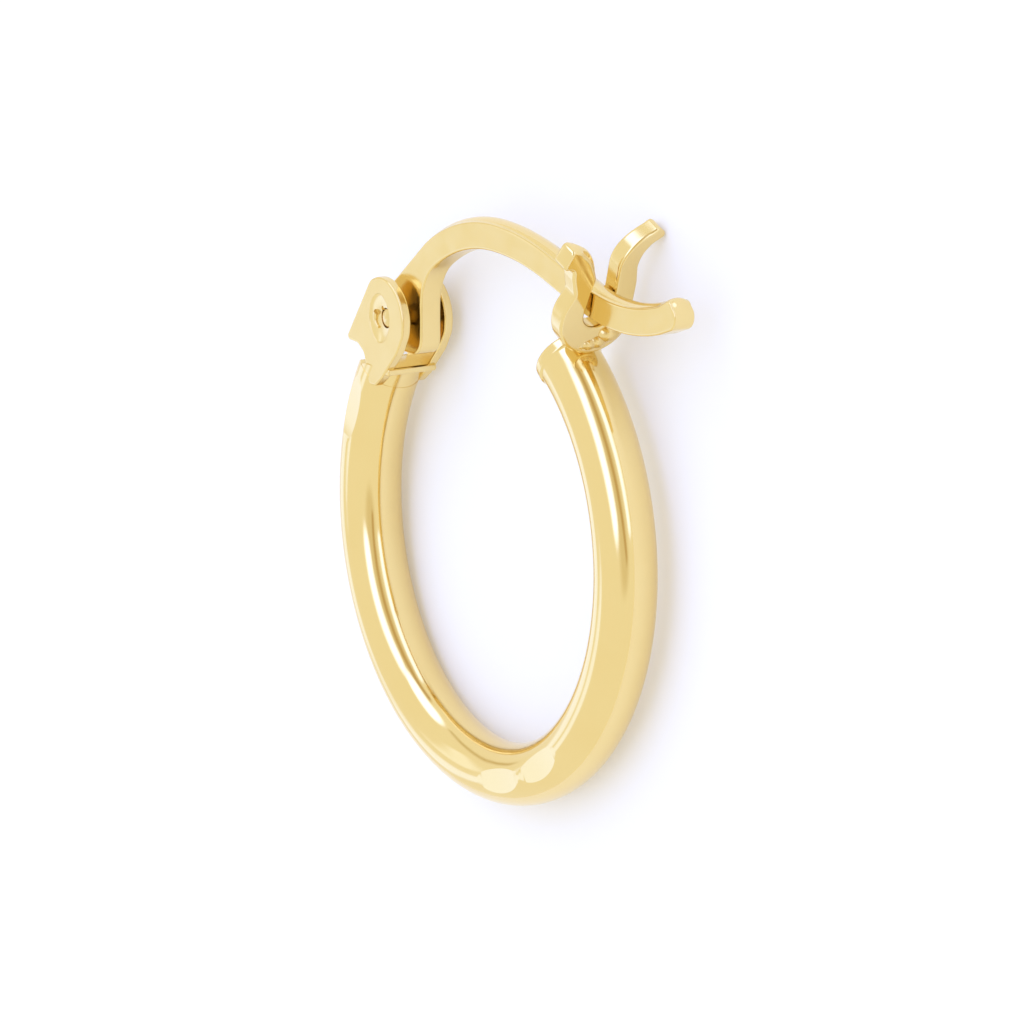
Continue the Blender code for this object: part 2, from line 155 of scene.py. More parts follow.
def mix_colours(
    tree: bpy.types.NodeTree,
    share: bpy.types.NodeSocket,
    under: bpy.types.NodeSocket | Colour,
    over: Colour,
) -> bpy.types.NodeSocket:
    """Lays a colour over another.

    Args:
        tree: The nodes of the material or world.
        share: How much of the upper colour shows, from 0 to 1.
        under: The lower colour.
        over: The upper colour.

    Returns:
        The mixed colour's socket.
    """
    mix = tree.nodes.new("ShaderNodeMix")
    mix.data_type = "RGBA"
    tree.links.new(share, mix.inputs["Factor"])
    if isinstance(under, tuple):
        mix.inputs["A"].default_value = (*under, 1.0)
    else:
        tree.links.new(under, mix.inputs["A"])
    mix.inputs["B"].default_value = (*over, 1.0)
    return mix.outputs["Result"]


@dataclass(frozen=True)
class PolishedGold:
    """A yellow gold finish, with its own tone, gloss and traces of work.

    Attributes:
        name: The material's name.
        colour: The metal's mean reflectance.
        deeper: The slightly redder tone that it drifts to.
        gloss: Roughness where the polish is best.
        haze: Roughness where handling has dulled it.
        grain: Depth of the polishing lines, in metres.
        ripple: Depth of the slow waves in the surface, in metres.
        lay_deg: Direction of the polishing lines round the ring's axis.
    """

    name: str
    colour: Colour
    deeper: Colour
    gloss: float
    haze: float
    grain: float
    ripple: float
    lay_deg: float = 0.0

    def material(self) -> bpy.types.Material:
        """Builds the node material."""
        made = bpy.data.materials.new(self.name)
        made.use_nodes = True
        tree = made.node_tree
        shader = tree.nodes["Principled BSDF"]
        shader.inputs["Metallic"].default_value = 1.0
        place = self._mapping(tree, (1.0, 1.0, 1.0))
        sockets = {
            "Base Color": mix_colours(tree, TONE_DRIFT.add(tree, place), self.colour, self.deeper),
            "Roughness": self._sheen(tree, place),
            "Normal": self._relief(tree, place),
        }
        for name, socket in sockets.items():
            tree.links.new(socket, shader.inputs[name])
        return made

    def _mapping(
        self, tree: bpy.types.NodeTree, stretch: tuple[float, float, float]
    ) -> bpy.types.NodeSocket:
        """Object coordinates in millimetres.

        Args:
            tree: The material's nodes.
            stretch: How much finer the pattern is along each axis.

        Returns:
            The socket that gives the coordinates.
        """
        source = tree.nodes.new("ShaderNodeTexCoord")
        mapping = tree.nodes.new("ShaderNodeMapping")
        mapping.inputs["Scale"].default_value = [factor / MM for factor in stretch]
        mapping.inputs["Rotation"].default_value = (0.0, 0.0, math.radians(self.lay_deg))
        tree.links.new(source.outputs["Object"], mapping.inputs["Vector"])
        return mapping.outputs["Vector"]

    def _sheen(self, tree: bpy.types.NodeTree, place: bpy.types.NodeSocket) -> bpy.types.NodeSocket:
        """Varies the roughness between the best polish and light handling haze.

        Args:
            tree: The material's nodes.
            place: The coordinates that the pattern reads.

        Returns:
            The roughness.
        """
        span = tree.nodes.new("ShaderNodeMapRange")
        span.inputs["From Min"].default_value, span.inputs["From Max"].default_value = HANDLING_SPAN
        span.inputs["To Min"].default_value = self.gloss
        span.inputs["To Max"].default_value = self.haze
        tree.links.new(HANDLING.add(tree, place), span.inputs["Value"])
        return span.outputs["Result"]

    def _relief(self, tree: bpy.types.NodeTree, place: bpy.types.NodeSocket) -> bpy.types.NodeSocket:
        """Adds slow ripples and fine polishing lines.

        Args:
            tree: The material's nodes.
            place: The coordinates that the ripples read.

        Returns:
            The surface's normal.
        """
        fine = POLISHING_LINES.add(tree, self._mapping(tree, LINE_STRETCH))
        slow = SLOW_WAVES.add(tree, place)
        previous = None
        for pattern, depth in ((slow, self.ripple), (fine, self.grain)):
            bump = tree.nodes.new("ShaderNodeBump")
            bump.inputs["Strength"].default_value = 1.0
            bump.inputs["Distance"].default_value = depth
            tree.links.new(pattern, bump.inputs["Height"])
            if previous is not None:
                tree.links.new(previous, bump.inputs["Normal"])
            previous = bump.outputs["Normal"]
        return previous


GOLD = PolishedGold(
    name="tube_polish",
    colour=(0.87, 0.69, 0.315),
    deeper=(0.85, 0.65, 0.27),
    gloss=0.07,
    haze=0.13,
    grain=2.0e-7,
    ripple=6.0e-6,
)
CAP_GOLD = replace(GOLD, name="cap_polish", gloss=0.09, haze=0.16)
FORK_GOLD = replace(GOLD, name="fork_polish", gloss=0.1, haze=0.2, grain=4.0e-7)
SOLDER_GOLD = replace(
    GOLD,
    name="solder_skin",
    colour=(0.85, 0.66, 0.29),
    deeper=(0.8, 0.59, 0.235),
    gloss=0.16,
    haze=0.34,
    ripple=2.0e-5,
)
BRACKET_GOLD = replace(GOLD, name="bracket_polish", gloss=0.15, haze=0.23, grain=1.5e-7, lay_deg=60.0)
WIRE_GOLD = replace(GOLD, name="wire_polish", gloss=0.1, haze=0.2, grain=5.0e-7)
PIN_GOLD = replace(GOLD, name="rivet_polish", deeper=(0.8, 0.59, 0.235), gloss=0.14, haze=0.3)


@dataclass(frozen=True)
class Corner:
    """A corner of a plate's outline, seen square on.

    Attributes:
        x: Place across.
        y: Place up.
        turn: Radius that rounds the corner, or 0 for a point that is already on a curve.
        crown: How far the wall bulges at mid-thickness past its line at the faces.
    """

    x: float
    y: float
    turn: float = 0.0
    crown: float = 0.0


def arc(
    centre: tuple[float, float],
    radii: tuple[float, float],
    start_deg: float,
    end_deg: float,
    step_deg: float = 3.0,
) -> list[Corner]:
    """Walks an arc of a circle or an ellipse, with both ends.

    Args:
        centre: The arc's centre.
        radii: Its half widths across and up.
        start_deg: Where it starts.
        end_deg: Where it ends.
        step_deg: About how far apart its points are.

    Returns:
        The points as outline corners.
    """
    count = max(2, round(abs(end_deg - start_deg) / step_deg))
    turns = [math.radians(start_deg + (end_deg - start_deg) * i / count) for i in range(count + 1)]
    return [Corner(centre[0] + radii[0] * math.cos(t), centre[1] + radii[1] * math.sin(t)) for t in turns]


def ease(value: float, low: float, high: float) -> float:
    """A smooth step from 0 at low to 1 at high."""
    share = min(1.0, max(0.0, (value - low) / (high - low)))
    return share * share * (3 - 2 * share)


def rounded(corners: Sequence[Corner], step_deg: float = 8.0) -> list[Corner]:
    """Replaces each corner that has a turn by an arc of that radius.

    Args:
        corners: The closed outline.
        step_deg: About how far apart the arc's points are.

    Returns:
        The outline with its corners rounded.
    """
    done = []
    for i, corner in enumerate(corners):
        if not corner.turn:
            done.append(corner)
            continue
        place = Vector((corner.x, corner.y))
        before = Vector((corners[i - 1].x, corners[i - 1].y)) - place
        after = Vector((corners[(i + 1) % len(corners)].x, corners[(i + 1) % len(corners)].y)) - place
        half = before.angle(after) / 2
        room = FILLET_SHARE * min(before.length, after.length)
        reach = min(corner.turn / math.tan(half), room)
        radius = reach * math.tan(half)
        centre = place + (before.normalized() + after.normalized()).normalized() * (radius / math.sin(half))
        first = place + before.normalized() * reach - centre
        last = place + after.normalized() * reach - centre
        sweep = first.angle_signed(last)
        count = max(2, round(math.degrees(abs(sweep)) / step_deg))
        for k in range(count + 1):
            point = centre + Matrix.Rotation(-sweep * k / count, 2) @ first
            done.append(replace(corner, x=point.x, y=point.y, turn=0.0))
    return done


def outward_normals(corners: Sequence[Corner]) -> list[Vector]:
    """Finds the mitred outward direction at each corner of a closed outline.

    Args:
        corners: The outline, in either sense.

    Returns:
        A direction for each corner, longer where the outline is sharp.
    """
    points = [Vector((corner.x, corner.y)) for corner in corners]
    area = sum(p.x * q.y - q.x * p.y for p, q in zip(points, points[1:] + points[:1]))
    side = 1.0 if area > 0 else -1.0
    normals = []
    for i, point in enumerate(points):
        edges = (point - points[i - 1], points[(i + 1) % len(points)] - point)
        first, second = (side * Vector((edge.y, -edge.x)).normalized() for edge in edges)
        middle = (first + second).normalized()
        normals.append(middle / max(MITRE_LIMIT, middle.dot(first)))
    return normals


@dataclass(frozen=True)
class Level:
    """One loop round a plate's wall.

    Attributes:
        wall: Share of the way from mid-thickness to where the rim starts, signed.
        turn: How far round the rim, in radians.
        support: Extra inset on the flat face, which keeps its shading flat.
    """

    wall: float
    turn: float = 0.0
    support: float = 0.0


@dataclass
class Plate:
    """A plate with rounded rims and, where its corners ask, a crowned wall.

    Attributes:
        corners: Its outline, seen square on.
        low: The lower face's height.
        high: The upper face's height.
        rim: Radius of the rims.
        wall_steps: Loops on half the wall.
        rim_steps: Loops on each rim.
        support: Inset of the loop that keeps each face's shading flat.
    """

    corners: Sequence[Corner]
    low: float
    high: float
    rim: float = 0.06
    wall_steps: int = 3
    rim_steps: int = 5
    support: float = 0.015

    def mesh(self) -> bmesh.types.BMesh:
        """Raises the outline level by level, from one face to the other."""
        corners = rounded(self.corners)
        normals = outward_normals(corners)
        bm = bmesh.new()
        order = bm.verts.layers.int.new("order")
        rim = [bm.verts.new((corner.x, corner.y, 0.0)) for corner in corners]
        for i, vert in enumerate(rim):
            vert[order] = i
        bottom = top = bm.faces.new(rim)
        levels = self._levels()
        self._place(rim, order, levels[0], corners, normals)
        for level in levels[1:]:
            raised = bmesh.ops.extrude_face_region(bm, geom=[top], use_keep_orig=True)["geom"]
            if top is not bottom:
                bmesh.ops.delete(bm, geom=[top], context="FACES_ONLY")
            verts = [item for item in raised if isinstance(item, bmesh.types.BMVert)]
            top = next(item for item in raised if isinstance(item, bmesh.types.BMFace))
            self._place(verts, order, level, corners, normals)
        bmesh.ops.recalc_face_normals(bm, faces=bm.faces)
        return bm

    def _levels(self) -> list[Level]:
        """The levels from the lower face to the upper one."""
        upper = [Level(step / self.wall_steps) for step in range(1, self.wall_steps + 1)]
        upper += [Level(1.0, math.pi / 2 * step / self.rim_steps) for step in range(1, self.rim_steps + 1)]
        upper.append(Level(1.0, math.pi / 2, self.support))
        lower = [Level(-level.wall, level.turn, level.support) for level in reversed(upper)]
        return lower + [Level(0.0)] + upper

    def _place(
        self,
        verts: Iterable[bmesh.types.BMVert],
        order: bmesh.types.BMLayerItem,
        level: Level,
        corners: Sequence[Corner],
        normals: Sequence[Vector],
    ) -> None:
        """Puts one loop where its level passes.

        Args:
            verts: The loop's vertices.
            order: The layer that says which corner each belongs to.
            level: The level.
            corners: The outline.
            normals: Its outward directions.
        """
        half = (self.high - self.low) / 2
        wall = half - self.rim
        side = math.copysign(1.0, level.wall)
        height = level.wall * wall + side * self.rim * math.sin(level.turn)
        for vert in verts:
            corner = corners[vert[order]]
            inset = corner.crown * (level.wall * wall / half) ** 2
            inset += self.rim * (1 - math.cos(level.turn)) + level.support
            point = Vector((corner.x, corner.y)) - normals[vert[order]] * inset
            vert.co = (point.x, point.y, (self.high + self.low) / 2 + height)


def turned(profile: Sequence[Corner], steps: int = 96) -> bmesh.types.BMesh:
    """Turns a profile of radius and height round Z.

    Args:
        profile: The profile from the axis to the axis.
        steps: Facets in a full turn.

    Returns:
        The closed form.
    """
    bm = bmesh.new()
    verts = [bm.verts.new((point.x, 0.0, point.y)) for point in profile]
    edges = [bm.edges.new(pair) for pair in zip(verts, verts[1:])]
    bmesh.ops.spin(
        bm, geom=verts + edges, axis=(0, 0, 1), cent=(0, 0, 0), angle=math.tau, steps=steps, use_merge=True
    )
    bmesh.ops.remove_doubles(bm, verts=bm.verts, dist=MERGE)
    bmesh.ops.recalc_face_normals(bm, faces=bm.faces)
    return bm


def cylinder(radius: float, low: float, high: float, sides: int = 64) -> bmesh.types.BMesh:
    """Makes a round bar along Z.

    Args:
        radius: Its radius.
        low: Its lower end.
        high: Its upper end.
        sides: Facets round it.

    Returns:
        The closed form.
    """
    bm = bmesh.new()
    bmesh.ops.create_cone(
        bm, cap_ends=True, segments=sides, radius1=radius, radius2=radius, depth=high - low
    )
    bmesh.ops.translate(bm, verts=bm.verts, vec=(0, 0, (low + high) / 2))
    return bm


def moved(bm: bmesh.types.BMesh, matrix: Matrix) -> bmesh.types.BMesh:
    """Turns and moves a form, and gives it back."""
    bmesh.ops.transform(bm, matrix=matrix, verts=bm.verts)
    return bm


def bent_bar(
    bend: float, radius: float, facets: tuple[int, int], span_deg: tuple[float, float]
) -> bmesh.types.BMesh:
    """Bends a solid round bar round Z.

    Args:
        bend: Radius of the bar's middle line.
        radius: The bar's own radius.
        facets: How many it has round its section, and along it.
        span_deg: Where it starts and ends, from X towards Y.

    Returns:
        The closed form.
    """
    start_deg, end_deg = span_deg
    bm = bmesh.new()
    bmesh.ops.create_circle(bm, cap_ends=True, segments=facets[0], radius=radius)
    moved(bm, Matrix.Translation((bend, 0, 0)) @ Matrix.Rotation(math.pi / 2, 4, "X"))
    moved(bm, Matrix.Rotation(math.radians(start_deg), 4, "Z"))
    bmesh.ops.spin(
        bm,
        geom=bm.verts[:] + bm.edges[:] + bm.faces[:],
        axis=(0, 0, 1),
        cent=(0, 0, 0),
        angle=math.radians(end_deg - start_deg),
        steps=facets[1],
    )
    bmesh.ops.recalc_face_normals(bm, faces=bm.faces)
    return bm


def new_object(name: str, bm: bmesh.types.BMesh) -> bpy.types.Object:
    """Makes a form an object of the scene.

    Args:
        name: The name of the object and of its mesh.
        bm: The form, which is used up.

    Returns:
        The object.
    """
    mesh = bpy.data.meshes.new(name)
    bm.to_mesh(mesh)
    bm.free()
    obj = bpy.data.objects.new(name, mesh)
    bpy.context.scene.collection.objects.link(obj)
    return obj


def shape(body: bmesh.types.BMesh, tools: Sequence[tuple[Cut, bmesh.types.BMesh]]) -> bmesh.types.BMesh:
    """Joins and cuts a form with exact Booleans.

    Args:
        body: The form to start from, which is used up.
        tools: What each step does, and its form, which is used up.

    Returns:
        The new form.
    """
    start = new_object("form", body)
    others = []
    for cut, tool in tools:
        others.append(new_object("form", tool))
        modifier = start.modifiers.new(cut.name.lower(), "BOOLEAN")
        modifier.operation = cut.value
        modifier.solver = "EXACT"
        modifier.object = others[-1]
    bpy.context.view_layer.update()
    evaluated = start.evaluated_get(bpy.context.evaluated_depsgraph_get())
    made = bmesh.new()
    made.from_mesh(evaluated.to_mesh())
    evaluated.to_mesh_clear()
    for obj in (start, *others):
        mesh = obj.data
        bpy.data.objects.remove(obj)
        bpy.data.meshes.remove(mesh)
    bmesh.ops.remove_doubles(made, verts=made.verts, dist=MERGE)
    return made


@dataclass
class Bench:
    """Where finished forms become pieces of the model.

    Attributes:
        ring: Where the ring lies.
    """

    ring: RingFrame

    def finish(
        self,
        name: str,
        bm: bmesh.types.BMesh,
        gold: PolishedGold,
        body: Body = Body.HOOP,
        node: str = "hoop",
        crisp_deg: float = 40.0,
        even: bool = True,
    ) -> bpy.types.Object:
        """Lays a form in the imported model, dresses it and makes it ride on its body.

        Args:
            name: The piece's name.
            bm: Its form in ring-frame millimetres, which is used up.
            gold: Its finish.
            body: The body that it moves with.
            node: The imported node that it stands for.
            crisp_deg: Edges sharper than this are shaded crisp.
            even: Whether large faces keep their own flat shading.

        Returns:
            The piece.
        """
        piece = new_object(name, moved(bm, self.ring.matrix()))
        piece.data.shade_smooth()
        piece.data.set_sharp_from_angle(angle=math.radians(crisp_deg))
        piece.data.materials.append(gold.material())
        if even:
            modifier = piece.modifiers.new("even_faces", "WEIGHTED_NORMAL")
            modifier.keep_sharp = True
        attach(piece, body.value)
        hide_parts(node)
        LOG.info("%s: %d faces, rides on %s", name, len(piece.data.polygons), body.value)
        return piece


@dataclass
class HoopTube:
    """The round hollow tube, with its bright-cut flats, vent and filed end."""

    ring_radius: float = 7.67
    radius: float = 1.0
    wall: float = 0.25
    hinge_end_deg: float = 146.5
    catch_end_deg: float = 54.0
    hinge_end_wall: float = 0.54
    catch_end_wall: float = 0.3
    facets: tuple[int, int] = (96, 320)
    bore_facets: tuple[int, int] = (24, 90)
    filed_top: tuple[float, float] = (-6.38, 4.62)
    filed_deg: float = 151.0
    vent_radius: float = 0.14
    vent_deg: float = 152.5
    vent_side_deg: float = 48.0
    flat_depth: float = 0.085
    flat_wheel: float = 10.0
    wheel_sides: int = 720
    flat_places: tuple[tuple[float, float], ...] = ((283.0, 84.0), (302.0, 84.0), (158.5, 84.0))

    def build(self, bench: Bench) -> None:
        """Makes the tube."""
        flats = [self._flat(*place) for place in self.flat_places]
        tools = [(Cut.AWAY, tool) for tool in (self._bore(), self._filed(), self._vent(), *flats)]
        span_deg = (self.hinge_end_deg, self.catch_end_deg + 360)
        made = shape(bent_bar(self.ring_radius, self.radius, self.facets, span_deg), tools)
        bench.finish("hoop_tube", made, GOLD, crisp_deg=14, even=False)

    def on_ring(self, angle_deg: float, radius: float | None = None) -> Vector:
        """A point at an angle round the ring."""
        angle = math.radians(angle_deg)
        reach = self.ring_radius if radius is None else radius
        return Vector((reach * math.cos(angle), reach * math.sin(angle), 0.0))

    def _bore(self) -> bmesh.types.BMesh:
        """The hollow inside, stopped short of both ends."""
        start_deg = self.hinge_end_deg + math.degrees(self.hinge_end_wall / self.ring_radius)
        end_deg = self.catch_end_deg + 360 - math.degrees(self.catch_end_wall / self.ring_radius)
        inside = self.radius - self.wall
        return bent_bar(self.ring_radius, inside, self.bore_facets, (start_deg, end_deg))

    def _filed(self) -> bmesh.types.BMesh:
        """What is filed off the outer corner behind the bracket."""
        top = Vector(self.filed_top)
        low = self.on_ring(self.filed_deg, self.ring_radius + self.radius).xy
        run = (low - top).normalized()
        away = Vector((run.y, -run.x))
        away = away if away.dot(top) > 0 else -away
        points = (top, low + run, low + run + 2 * away, top + 2 * away)
        return Plate([Corner(p.x, p.y) for p in points], -THROUGH, THROUGH, rim=SHARP_RIM).mesh()

    def side_normal(self, ring_deg: float, tube_deg: float) -> Vector:
        """The outward direction at an angle round the tube's own section."""
        tilt = math.radians(tube_deg)
        return self.on_ring(ring_deg, math.cos(tilt)) + Vector((0, 0, math.sin(tilt)))

    def _vent(self) -> bmesh.types.BMesh:
        """A drilled hole through one wall."""
        normal = self.side_normal(self.vent_deg, self.vent_side_deg)
        bm = cylinder(self.vent_radius, self.radius - 2 * self.wall, self.radius + self.wall, HOLE_SIDES)
        turn = normal.to_track_quat("Z", "Y").to_matrix().to_4x4()
        return moved(bm, Matrix.Translation(self.on_ring(self.vent_deg)) @ turn)

    def _flat(self, ring_deg: float, tube_deg: float) -> bmesh.types.BMesh:
        """Makes a wide wheel that scoops one long shallow flat.

        Args:
            ring_deg: Where the flat's middle is round the ring.
            tube_deg: Where it is round the tube's section, from outwards to up.

        Returns:
            The wheel.
        """
        normal = self.side_normal(ring_deg, tube_deg)
        along = self.on_ring(ring_deg + 90, 1.0)
        turn = Matrix((along, normal, along.cross(normal))).transposed().to_4x4()
        lift = self.radius - self.flat_depth + self.flat_wheel
        centre = self.on_ring(ring_deg) + normal * lift
        bm = cylinder(self.flat_wheel, -self.radius, self.radius, self.wheel_sides)
        return moved(bm, Matrix.Translation(centre) @ turn)


@dataclass
class EndCap:
    """The round-edged disc on the catch end."""

    tube: HoopTube
    radius: float = 1.06
    thickness: float = 0.42
    edge: float = 0.13
    seam: float = 0.05
    foot_edge: float = 0.06

    def build(self, bench: Bench) -> None:
        """Makes the cap."""
        foot = -self.seam
        profile = [
            Corner(0.0, foot),
            Corner(self.tube.radius - self.seam, foot),
            Corner(self.radius, self.seam, turn=self.foot_edge),
            Corner(self.radius, self.thickness, turn=self.edge),
            Corner(0.0, self.thickness),
        ]
        bm = turned(rounded(profile))
        moved(bm, Matrix.Rotation(-math.pi / 2, 4, "X"))
        moved(bm, Matrix.Translation((self.tube.ring_radius, 0, 0)))
        moved(bm, Matrix.Rotation(math.radians(self.tube.catch_end_deg), 4, "Z"))
        bench.finish("end_cap", bm, CAP_GOLD)


@dataclass(frozen=True)
class Bead:
    """A drop of solder: its middle in the ring frame, and its radius."""

    x: float
    y: float
    z: float
    radius: float
    stretch: tuple[float, float, float] = (1.15, 0.9, 1.2)

    def form(self) -> bmesh.types.BMesh:
        """A rounded drop, a little longer than high."""
        bm = bmesh.new()
        bmesh.ops.create_uvsphere(bm, u_segments=40, v_segments=24, radius=self.radius)
        moved(bm, Matrix.Diagonal((*self.stretch, 1.0)))
        return moved(bm, Matrix.Translation((self.x, self.y, self.z)))


@dataclass
class ForkCatch:
    """The fork that the wire clicks into.

    It is drawn square on: across the wire, and up from the slot's bottom.
    """

    thickness: float = 0.68
    lean_deg: float = 22.0
    slot_x: float = 5.57
    slot_y: float = 7.72
    base_radius: float = 1.3
    base_height: float = 0.34
    seat: float = 0.49
    gap: float = 0.41
    rim: float = 0.1
    edge_crown: float = 0.02
    dome_crown: float = 0.1
    dome_swell: float = 0.18
    swell_from: tuple[float, float] = (1.7, 2.3)
    swell_until: tuple[float, float] = (0.85, 1.15)
    beads: tuple[Bead, ...] = (
        Bead(5.62, 7.36, -0.58, 0.36),
        Bead(5.52, 7.12, -0.24, 0.28),
        Bead(5.5, 7.05, 0.06, 0.24),
        Bead(5.44, 7.02, 0.32, 0.2),
    )

    def matrix(self) -> Matrix:
        """Takes the square-on drawing to the ring frame."""
        lean = math.radians(self.lean_deg)
        up = Vector((math.sin(lean), math.cos(lean), 0))
        out = Vector((math.cos(lean), -math.sin(lean), 0))
        turn = Matrix((Vector((0, 0, 1)), up, -out)).transposed().to_4x4()
        return Matrix.Translation((self.slot_x, self.slot_y, 0)) @ turn

    def build(self, bench: Bench) -> None:
        """Makes the fork and the solder at its foot."""
        plate = Plate(self._outline(), -self.thickness / 2, self.thickness / 2, rim=self.rim, wall_steps=6)
        fork = moved(plate.mesh(), self.matrix())
        bench.finish("fork_catch", fork, FORK_GOLD)
        first, *others = [bead.form() for bead in self.beads]
        solder = shape(first, [(Cut.JOIN, bead) for bead in others])
        bench.finish("fork_solder", solder, SOLDER_GOLD, crisp_deg=70, even=False)

    def _outline(self) -> list[Corner]:
        """The whole plate, from the near arm's tip round the base and back."""
        return [*self._near_outer(), *self._base(), *self._far_arm(), *self._slot(), *self._near_inner()]

    def _near_outer(self) -> list[Corner]:
        """The near arm's outer edge, from its tip to the base."""
        return [
            Corner(1.7, 2.2, turn=0.2),
            Corner(1.27, 2.2, turn=0.3),
            Corner(1.22, 1.84, turn=0.5),
            Corner(1.02, 1.25, turn=0.3),
        ]

    def _base(self) -> list[Corner]:
        """The round foot that is soldered to the cap."""
        return arc((0, self.base_height), (self.base_radius, self.base_radius), 20, -200)

    def _far_arm(self) -> list[Corner]:
        """The far arm, from the base out to its tip and back to the slot."""
        outer = [Corner(-1.2, 1.5, turn=1.0), *arc((-2.16, 2.05), (1.06, 1.06), 0, 52)]
        tip = [Corner(-1.93, 3.16, turn=0.14), Corner(-1.56, 3.44, turn=0.14)]
        inner = arc((-3.39, 2.05), (3.0, 1.67), 47, 0)
        return outer + tip + inner

    def _slot(self) -> list[Corner]:
        """The slot's round bottom, where the wire seats."""
        return arc((0, self.seat), (self.seat, self.seat), 180, 360)

    def _near_inner(self) -> list[Corner]:
        """The near arm's inner edge, domed where it turns outwards over the wire."""
        dome = arc((1.32, 1.7), (1.02, 1.22), 180, 100)
        bulged = []
        for point in dome:
            swell = ease(point.y, *self.swell_from) * (1 - ease(point.x, *self.swell_until))
            bulged.append(replace(point, crown=self.dome_crown + self.dome_swell * swell))
        root = Corner(self.gap, 1.3, turn=0.3, crown=self.edge_crown)
        tip = Corner(1.46, 2.9, turn=0.2, crown=self.edge_crown)
        return [root, *bulged, tip]


@dataclass
class HingeBracket:
    """Two ears and a floor, bent from one strip and soldered to the tube's end."""

    ear_inside: float = 0.62
    ear_outside: float = 0.95
    top_centre: tuple[float, float] = (-5.45, 6.0)
    top_radius: float = 1.38
    top_ends_deg: tuple[float, float] = (-14.0, 118.0)
    top_arc_deg: tuple[float, float] = (4.0, 100.0)
    shoulder: float = 0.6
    corner_centre: tuple[float, float] = (-7.36, 5.17)
    corner_radius: float = 0.14
    rim: float = 0.07
    hole_radius: float = 0.33
    dish_centre: tuple[float, float] = (-5.5, 6.05)
    dish_size: tuple[float, float, float] = (0.62, 0.8, 0.1)
    floor_rim: float = 0.11
    strip_rim: float = 0.06
    floor_inset: float = 0.05
    stub_reach: float = 1.1
    stub_root: float = 0.1
    stub_inset: float = 0.01
    pit_place: tuple[float, float] = (-5.44, 6.38)
    pit_radius: float = 0.07
    pit_depth: float = 0.16
    curl_centre: tuple[float, float] = (-5.6, 6.0)
    curl_reach: float = 0.27
    curl_radius: float = 0.1
    curl_from_deg: float = 130.0
    curl_turn_deg: float = 130.0
    curl_taper: float = 0.65
    curl_sunk: float = 0.07
    curl_facets: tuple[int, int] = (20, 20)

    def build(self, bench: Bench) -> None:
        """Makes both ears and the floor."""
        near = Plate(self._ear(), self.ear_inside, self.ear_outside, rim=self.rim).mesh()
        cuts = [(Cut.AWAY, tool) for tool in (self._dish(), self._hole(), self._pit())]
        near = shape(near, [*cuts, (Cut.JOIN, self._curl())])
        far = Plate(self._ear(), -self.ear_outside, -self.ear_inside, rim=self.rim).mesh()
        far = shape(far, [(Cut.AWAY, self._hole())])
        half = self.ear_outside - self.floor_inset
        strip = Plate(self._floor(), -half, half, rim=self.strip_rim)
        stub = shape(self._stub(), [(Cut.AWAY, self._above())])
        floor = shape(strip.mesh(), [(Cut.JOIN, stub)])
        for name, bm in (("near_ear", near), ("far_ear", far), ("bracket_floor", floor)):
            bench.finish(name, bm, BRACKET_GOLD)

    def _ear(self) -> list[Corner]:
        """One ear: round top, straight back edge, corner, notch, tongue and front edge."""
        radii = (self.top_radius, self.top_radius)
        start, *_, end = arc(self.top_centre, radii, *self.top_ends_deg)
        crest = arc(self.top_centre, radii, *self.top_arc_deg)
        top = [replace(start, turn=self.shoulder), *crest, replace(end, turn=self.shoulder)]
        back = arc(self.corner_centre, (self.corner_radius, self.corner_radius), 145, 270, 12)
        low = [
            Corner(-6.9, 5.01, turn=0.3),
            Corner(-6.5, 4.76, turn=0.35),
            Corner(-6.35, 4.25, turn=0.3),
            Corner(-6.15, 3.8, turn=0.14),
            Corner(-5.8, 3.8, turn=0.14),
            Corner(-5.4, 4.1, turn=0.8),
            Corner(-5.05, 4.47, turn=0.8),
            Corner(-4.48, 5.05, turn=1.2),
        ]
        return top + back + low

    def _dish(self) -> bmesh.types.BMesh:
        """The dent pressed round the rivet's end."""
        bm = bmesh.new()
        bmesh.ops.create_uvsphere(bm, u_segments=64, v_segments=32, radius=1.0)
        moved(bm, Matrix.Diagonal((*self.dish_size, 1.0)))
        return moved(bm, Matrix.Translation((*self.dish_centre, self.ear_outside)))

    def _hole(self) -> bmesh.types.BMesh:
        """The rivet's hole through both ears."""
        return moved(cylinder(self.hole_radius, -THROUGH, THROUGH), Matrix.Translation(PIVOT))

    def _pit(self) -> bmesh.types.BMesh:
        """A pinhole left where the dent was hammered."""
        pit = cylinder(self.pit_radius, self.ear_outside - self.pit_depth, THROUGH, HOLE_SIDES)
        return moved(pit, Matrix.Translation((*self.pit_place, 0.0)))

    def _curl(self) -> bmesh.types.BMesh:
        """The comma-shaped burr in the dent: a bent bar, half sunk, thinner at its tail."""
        span_deg = (0.0, self.curl_turn_deg)
        bm = bent_bar(self.curl_reach, self.curl_radius, self.curl_facets, span_deg)
        for vert in bm.verts:
            share = math.atan2(vert.co.y, vert.co.x) / math.radians(self.curl_turn_deg)
            middle = Vector((vert.co.x, vert.co.y, 0)).normalized() * self.curl_reach
            vert.co = middle + (vert.co - middle) * (1.0 - self.curl_taper * share)
        turn = Matrix.Rotation(math.radians(self.curl_from_deg), 4, "Z")
        return moved(bm, Matrix.Translation((*self.curl_centre, self.ear_outside - self.curl_sunk)) @ turn)

    def _floor(self) -> list[Corner]:
        """The strip between the ears, seen from the side."""
        places = ((-5.03, 4.46), (-6.32, 4.58), (-6.32, 4.3), (-5.03, 4.22))
        return [Corner(x, y, turn=self.floor_rim) for x, y in places]

